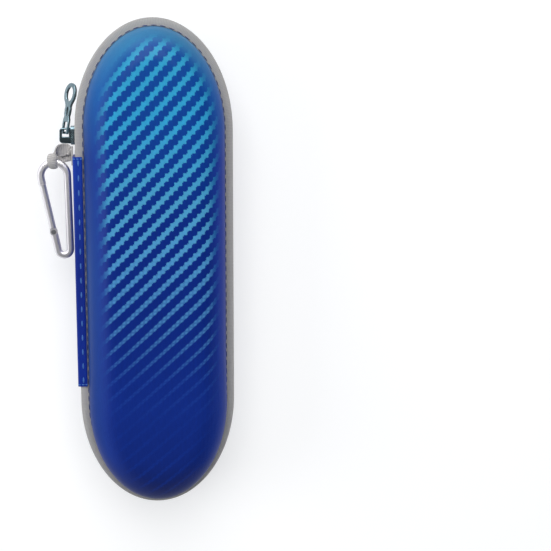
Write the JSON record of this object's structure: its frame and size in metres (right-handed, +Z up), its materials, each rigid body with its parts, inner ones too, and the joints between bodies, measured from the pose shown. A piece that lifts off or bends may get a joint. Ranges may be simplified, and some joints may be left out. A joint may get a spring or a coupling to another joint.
{
  "type": "toothbrush travel case",
  "caption": "Hard zipped travel case: two moulded half shells on a folding fabric spine, with elastic straps, a net pocket and a snap hook.",
  "frame": {"origin": "middle of the flat outer face of the back half, on which the closed case lies", "axes": "+Z up through the parting plane and the front half, +Y along the case to the end where the zip pull lies, the folding spine on the -X side"},
  "size_m": [0.0948, 0.24, 0.06],
  "materials": {
    "shell_leather": "embossed blue coated cloth with a soft sheen",
    "edging_fabric": "woven grey tape",
    "lining_fabric": "brushed mauve-grey jersey",
    "strap_elastic": "ribbed grey elastic",
    "net_fabric": "open knitted mesh",
    "stitch_thread": "light blue thread",
    "zip_teeth": "grey coiled nylon",
    "stop_metal": "pressed metal",
    "slider_metal": "bright plated casting",
    "loop_webbing": "plain woven grey webbing",
    "hook_metal": "satin silver",
    "spring_steel": "drawn wire"
  },
  "bodies": {
    "back": {"back_shell": "shell_leather", "back_lining": "lining_fabric", "back_rim": "lining_fabric", "back_strap": "strap_elastic", "back_zip_tape": "edging_fabric", "back_zip_coil": "zip_teeth", "back_edging": "edging_fabric", "back_spine_flange": "shell_leather", "back_spine_stitches": "stitch_thread", "pocket_elastic_band": "strap_elastic", "pocket_net": "net_fabric"},
    "spine": {"spine_strip": "shell_leather", "spine_lining": "lining_fabric", "upper_zip_end": "edging_fabric", "upper_zip_stop": "stop_metal", "lower_zip_end": "edging_fabric", "lower_zip_stop": "stop_metal", "hang_loop_anchor": "loop_webbing"},
    "front": {"front_shell": "shell_leather", "front_lining": "lining_fabric", "front_rim": "lining_fabric", "front_strap": "strap_elastic", "front_zip_tape": "edging_fabric", "front_zip_coil": "zip_teeth", "front_edging": "edging_fabric", "front_spine_flange": "shell_leather", "front_spine_stitches": "stitch_thread"},
    "slider": {"zip_slider": "slider_metal"},
    "pull": {"zip_pull": "slider_metal"},
    "loop": {"hang_loop": "loop_webbing"},
    "hook": {"snap_hook": "hook_metal", "gate_pin": "hook_metal", "gate_spring": "spring_steel"},
    "gate": {"hook_gate": "hook_metal"}
  },
  "joints": [
    {"name": "front_fold", "type": "hinge", "parent": "spine", "child": "front", "pos_m": [-0.0388, -0.0025, 0.036], "axis": [0, -1, 0], "range_deg": [0, 90]},
    {"name": "spine_fold", "type": "hinge", "parent": "back", "child": "spine", "pos_m": [-0.0388, -0.0025, 0.024], "axis": [0, -1, 0], "range_deg": [0, 90]},
    {"name": "slider_travel", "type": "slide", "parent": "spine", "child": "slider", "axis": [0, 1, 0], "range_m": [0, 0.005]},
    {"name": "pull_swing", "type": "hinge", "parent": "slider", "child": "pull", "pos_m": [-0.04287, 0.0651, 0.03], "axis": [0, 0, -1], "range_deg": [-80, 0]},
    {"name": "loop_swing", "type": "hinge", "parent": "spine", "child": "loop", "pos_m": [-0.0428, 0.056, 0.03], "axis": [0, 0, 1], "range_deg": [-40, 0]},
    {"name": "hook_tilt", "type": "hinge", "parent": "loop", "child": "hook", "pos_m": [-0.0486, 0.0508, 0.03], "axis": [1, 0, 0], "range_deg": [-60, 0]},
    {"name": "gate_swing", "type": "hinge", "parent": "hook", "child": "gate", "pos_m": [-0.04946, 0.01699, 0.03], "axis": [0, 0, -1], "range_deg": [0, 20], "stiffness_Nm_per_rad": 0.03, "springref_deg": -17.19}
  ],
  "couplings": [
    {"joint": "spine_fold", "follows": "front_fold", "ratio": 1}
  ]
}
